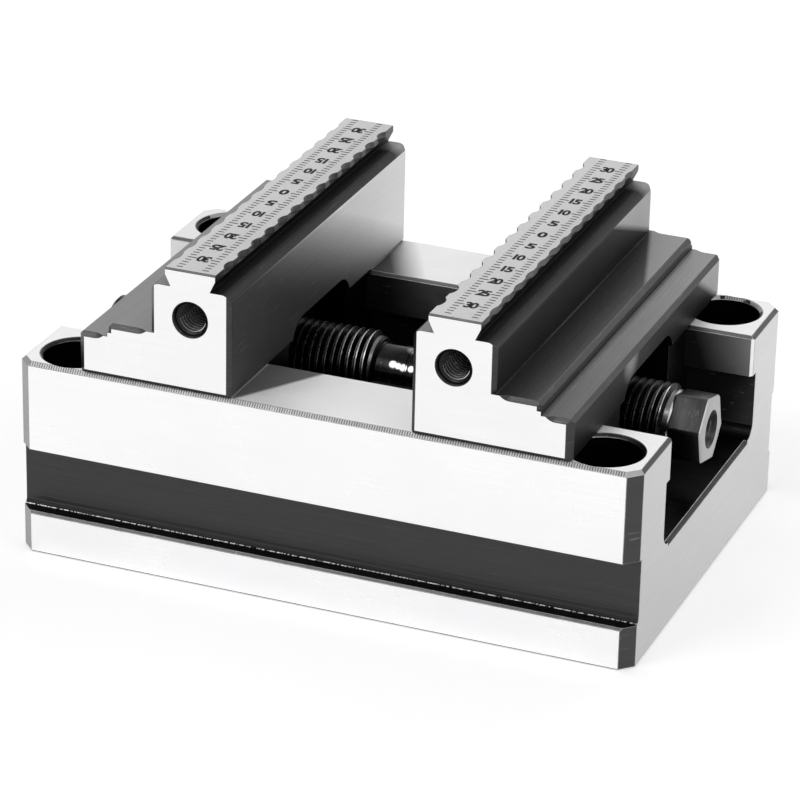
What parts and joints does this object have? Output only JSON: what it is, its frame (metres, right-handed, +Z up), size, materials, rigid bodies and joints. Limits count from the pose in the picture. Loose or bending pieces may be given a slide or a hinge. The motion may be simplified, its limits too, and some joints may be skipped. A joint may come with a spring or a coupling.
{
  "type": "self-centring vise",
  "caption": "Compact self-centring steel vise: stepped jaws with notched scale heads slide in a T-slot body, driven together by a right- and left-hand lead screw with a hexagon end.",
  "frame": {"origin": "centre of the body's underside", "axes": "+X along the lead screw towards its drive hexagon, +Y towards the rear long side, +Z up"},
  "size_m": [0.1, 0.07, 0.0515],
  "materials": {
    "ground_steel": "ground, with bright bevelled edges",
    "black_steel": "black oxide",
    "nut_steel": "dark phosphated, slightly worn"
  },
  "bodies": {
    "base": {"body": "ground_steel", "centre_block": "nut_steel", "block_screw_front": "black_steel", "block_screw_rear": "black_steel"},
    "screw": {"lead_screw": "black_steel"},
    "left_carriage": {"left_jaw": "ground_steel", "left_nut": "nut_steel", "left_nut_screw_front": "black_steel", "left_nut_screw_rear": "black_steel"},
    "right_carriage": {"right_jaw": "ground_steel", "right_nut": "nut_steel", "right_nut_screw_front": "black_steel", "right_nut_screw_rear": "black_steel"}
  },
  "joints": [
    {"name": "right_jaw_slide", "type": "slide", "parent": "base", "child": "right_carriage", "axis": [1, 0, 0], "range_m": [-0.0142, 0.0105]},
    {"name": "left_jaw_slide", "type": "slide", "parent": "base", "child": "left_carriage", "axis": [1, 0, 0], "range_m": [-0.01051, 0.01421]},
    {"name": "screw_turn", "type": "hinge", "parent": "base", "child": "screw", "pos_m": [0, 0, 0.0247], "axis": [1, 0, 0], "range_deg": [-4092, 3027]}
  ],
  "couplings": [
    {"joint": "left_jaw_slide", "follows": "right_jaw_slide", "ratio": -1},
    {"joint": "screw_turn", "follows": "right_jaw_slide", "rad_per_m": 5026.5}
  ]
}
